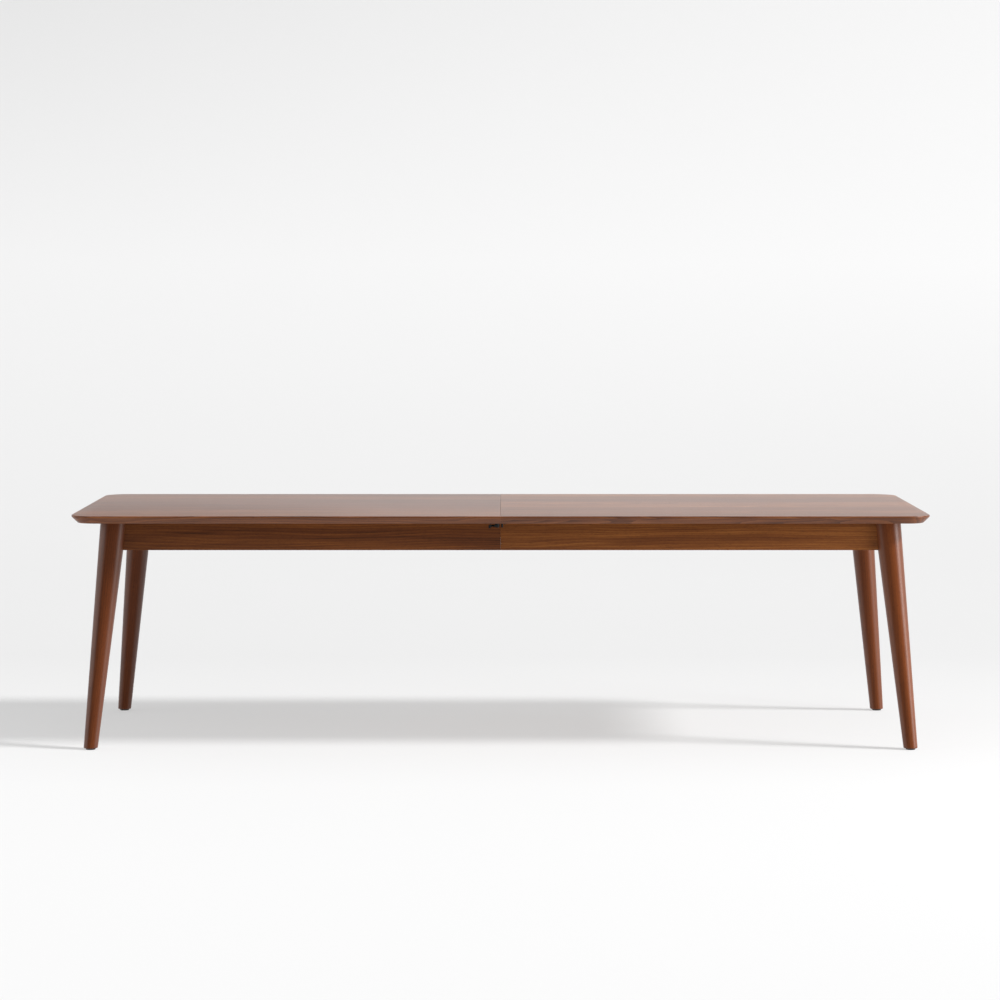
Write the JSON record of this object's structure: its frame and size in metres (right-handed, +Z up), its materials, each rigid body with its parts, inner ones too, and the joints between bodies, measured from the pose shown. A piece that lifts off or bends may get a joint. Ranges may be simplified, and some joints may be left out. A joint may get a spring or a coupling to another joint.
{
  "type": "extendable dining table",
  "caption": "Long walnut dining table on splayed round legs; the top and apron part at the centre on geared slides, with a folded leaf stored inside.",
  "frame": {"origin": "on the floor under the centre of the closed top", "axes": "+X along the length towards the right-hand end, +Y towards the back, +Z up"},
  "size_m": [2.776, 1.016, 0.762],
  "materials": {
    "walnut_top": "satin lacquer",
    "walnut_apron": "satin lacquer",
    "walnut_leg": "satin lacquer",
    "beech": "planed and waxed",
    "steel_gear": "milled",
    "zinc_steel": "zinc plated",
    "brass": "turned",
    "black_steel": "black powder coat",
    "black_nylon": "moulded"
  },
  "bodies": {
    "centre": {"front_centre_slide": "beech", "back_centre_slide": "beech", "pinion_pins": "steel_gear", "left_crossbar": "beech", "right_crossbar": "beech", "centre_screws": "zinc_steel", "leaf_upper": "walnut_top", "leaf_lower": "walnut_top", "leaf_hinges": "brass", "leaf_pins": "brass", "leaf_pivots": "zinc_steel", "leaf_cradles": "zinc_steel"},
    "left_half": {"left_top": "walnut_top", "left_front_apron": "walnut_apron", "left_back_apron": "walnut_apron", "left_end_apron": "walnut_apron", "front_left_leg": "walnut_leg", "back_left_leg": "walnut_leg", "front_left_glide": "black_nylon", "back_left_glide": "black_nylon", "left_braces": "zinc_steel", "left_hanger_bolts": "zinc_steel", "left_hanger_nuts": "zinc_steel", "left_brace_screws": "zinc_steel", "left_glue_blocks": "beech", "left_front_slide": "beech", "left_back_slide": "beech", "left_front_rack": "steel_gear", "left_back_rack": "steel_gear", "left_slide_screws": "zinc_steel", "left_slide_stops": "walnut_top", "alignment_pins": "brass", "latch_bases": "black_steel", "latch_rivets": "black_steel", "left_latch_screws": "black_steel"},
    "right_half": {"right_top": "walnut_top", "right_front_apron": "walnut_apron", "right_back_apron": "walnut_apron", "right_end_apron": "walnut_apron", "front_right_leg": "walnut_leg", "back_right_leg": "walnut_leg", "front_right_glide": "black_nylon", "back_right_glide": "black_nylon", "right_braces": "zinc_steel", "right_hanger_bolts": "zinc_steel", "right_hanger_nuts": "zinc_steel", "right_brace_screws": "zinc_steel", "right_glue_blocks": "beech", "right_front_slide": "beech", "right_back_slide": "beech", "right_front_rack": "steel_gear", "right_back_rack": "steel_gear", "right_slide_screws": "zinc_steel", "right_slide_stops": "walnut_top", "latch_keepers": "black_steel", "right_latch_screws": "black_steel"},
    "front_pinion": {"front_pinion": "steel_gear"},
    "back_pinion": {"back_pinion": "steel_gear"},
    "front_latch_lever": {"front_latch_lever": "black_steel"},
    "back_latch_lever": {"back_latch_lever": "black_steel"}
  },
  "joints": [
    {"name": "left_slide", "type": "slide", "parent": "centre", "child": "left_half", "axis": [-1, 0, 0], "range_m": [0, 0.254]},
    {"name": "right_slide", "type": "slide", "parent": "centre", "child": "right_half", "axis": [1, 0, 0], "range_m": [0, 0.254]},
    {"name": "front_pinion_spin", "type": "hinge", "parent": "centre", "child": "front_pinion", "pos_m": [0, -0.32136, 0.71], "axis": [0, 0, 1], "range_deg": [0, 915]},
    {"name": "back_pinion_spin", "type": "hinge", "parent": "centre", "child": "back_pinion", "pos_m": [0, 0.32136, 0.71], "axis": [0, 0, -1], "range_deg": [0, 915]},
    {"name": "front_latch_turn", "type": "hinge", "parent": "left_half", "child": "front_latch_lever", "pos_m": [-0.011, -0.448, 0.727], "axis": [0, 0, 1], "range_deg": [0, 180]},
    {"name": "back_latch_turn", "type": "hinge", "parent": "left_half", "child": "back_latch_lever", "pos_m": [-0.011, 0.448, 0.727], "axis": [0, 0, -1], "range_deg": [0, 180]}
  ],
  "couplings": [
    {"joint": "right_slide", "follows": "left_slide", "ratio": 1},
    {"joint": "front_pinion_spin", "follows": "left_slide", "rad_per_m": 62.5},
    {"joint": "back_pinion_spin", "follows": "left_slide", "rad_per_m": 62.5}
  ]
}
